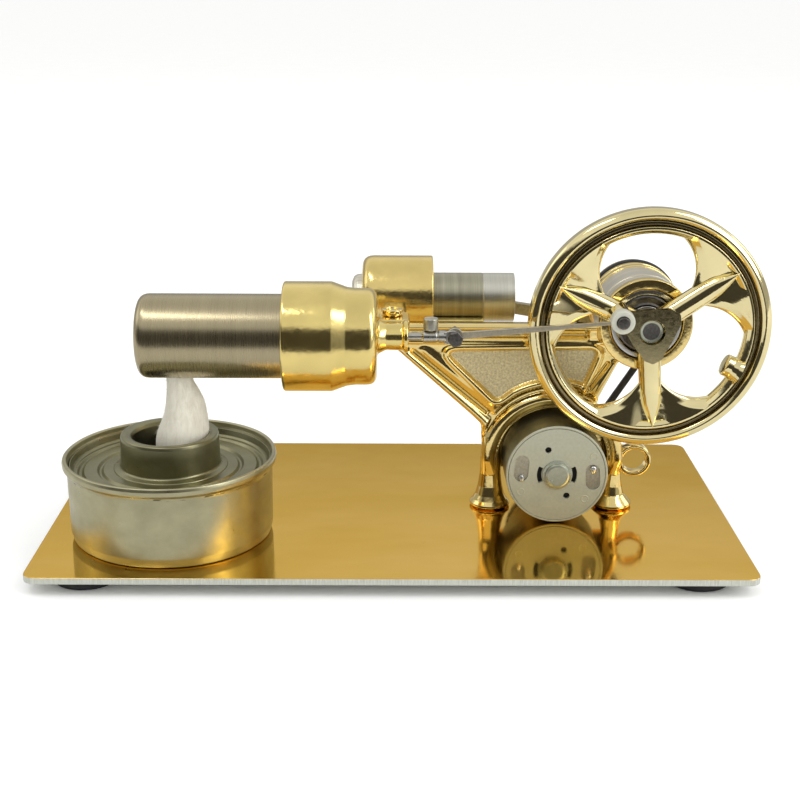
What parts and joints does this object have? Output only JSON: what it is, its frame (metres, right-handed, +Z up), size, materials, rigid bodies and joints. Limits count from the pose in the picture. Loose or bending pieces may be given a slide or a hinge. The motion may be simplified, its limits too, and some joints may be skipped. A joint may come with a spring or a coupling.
{
  "type": "stirling engine model",
  "caption": "Desktop hot-air engine: two parallel cylinders, spoked flywheel, belt-driven dynamo and a wick burner on a flat gold base plate with rubber feet.",
  "frame": {"origin": "floor level under the middle of the whole engine's box; the flywheel overhangs the plate, so this is 3.2 mm to the right of the plate's middle", "axes": "+X along the base plate from the burner to the flywheel, +Y from the front edge to the back, +Z up"},
  "size_m": [0.1714, 0.09, 0.0817],
  "materials": {
    "base_gold": "mirror gold anodised sheet",
    "gold_casting": "polished gold-tone plating on a die casting",
    "steel": "turned, satin",
    "hot_steel": "brushed round the cap, warm with heat",
    "dark_steel": "blackened",
    "tinplate": "satin tinplate with a greenish gold tint",
    "motor_zinc": "matte zinc plating",
    "brass": "satin",
    "rubber": "matte",
    "nylon": "satin white",
    "cotton": "loose white cotton",
    "winding": "lacquered copper winding on a steel core"
  },
  "bodies": {
    "base": {"base_plate": "base_gold", "rubber_foot_front_left": "rubber", "rubber_foot_rear_left": "rubber", "rubber_foot_front_right": "rubber", "rubber_foot_rear_right": "rubber", "leg_screw_left": "steel", "leg_screw_right": "steel", "frame_casting": "gold_casting", "passage_plug": "gold_casting", "displacer_housing": "gold_casting", "hot_cap": "hot_steel", "hot_cap_gasket": "rubber", "bearing_outer_front": "steel", "bearing_shield_front": "dark_steel", "bearing_outer_rear": "steel", "bearing_shield_rear": "dark_steel", "motor_can": "motor_zinc", "motor_end_plate": "motor_zinc", "motor_terminal_left": "brass", "motor_terminal_right": "brass", "motor_magnet": "dark_steel", "motor_bush": "brass", "motor_screw_left": "steel", "motor_screw_right": "steel", "power_housing": "gold_casting", "power_cylinder": "steel", "drive_belt": "rubber"},
    "crank": {"flywheel": "gold_casting", "crankshaft": "steel", "bearing_inner_front": "steel", "bearing_inner_rear": "steel", "drive_pulley": "gold_casting"},
    "dynamo_rotor": {"motor_shaft": "steel", "motor_rotor": "winding", "motor_pulley": "nylon"},
    "displacer_slider": {"displacer": "steel", "displacer_rod": "steel", "rod_end": "steel", "clamp_screw": "motor_zinc", "pivot_bolt": "dark_steel", "pivot_nut": "dark_steel"},
    "front_link": {"displacer_link": "steel", "crank_bush": "nylon", "crank_pin": "steel"},
    "power_slider": {"power_piston": "dark_steel", "wrist_pin": "steel"},
    "power_link": {"power_connecting_rod": "brass", "power_crank_pin": "steel"},
    "burner": {"burner_can": "tinplate", "burner_lid": "tinplate", "wick_collar": "tinplate", "wick": "cotton"}
  },
  "joints": [
    {"name": "crank_spin", "type": "hinge", "parent": "base", "child": "crank", "pos_m": [0.0571, 0, 0.0531], "axis": [0, 1, 0], "continuous": true},
    {"name": "dynamo_spin", "type": "hinge", "parent": "base", "child": "dynamo_rotor", "pos_m": [0.0365, 0, 0.0172], "axis": [0, 1, 0], "continuous": true},
    {"name": "displacer_slide", "type": "slide", "parent": "base", "child": "displacer_slider", "axis": [1, 0, 0], "range_m": [-0.00091, 0.01589]},
    {"name": "front_link_swing", "type": "hinge", "parent": "displacer_slider", "child": "front_link", "pos_m": [0.011, -0.0185, 0.0531], "axis": [0, 1, 0], "range_deg": [-7.39, 17.74]},
    {"name": "power_slide", "type": "slide", "parent": "base", "child": "power_slider", "axis": [1, 0, 0], "range_m": [-0.00512, 0.00988]},
    {"name": "power_link_swing", "type": "hinge", "parent": "power_slider", "child": "power_link", "pos_m": [0.0112, 0.021, 0.0531], "axis": [0, 1, 0], "range_deg": [-19.05, 0.8]},
    {"name": "burner_slide", "type": "slide", "parent": "base", "child": "burner", "axis": [0, -1, 0], "range_m": [0, 0.07]}
  ],
  "couplings": [
    {"joint": "dynamo_spin", "follows": "crank_spin", "ratio": 1.1932}
  ]
}
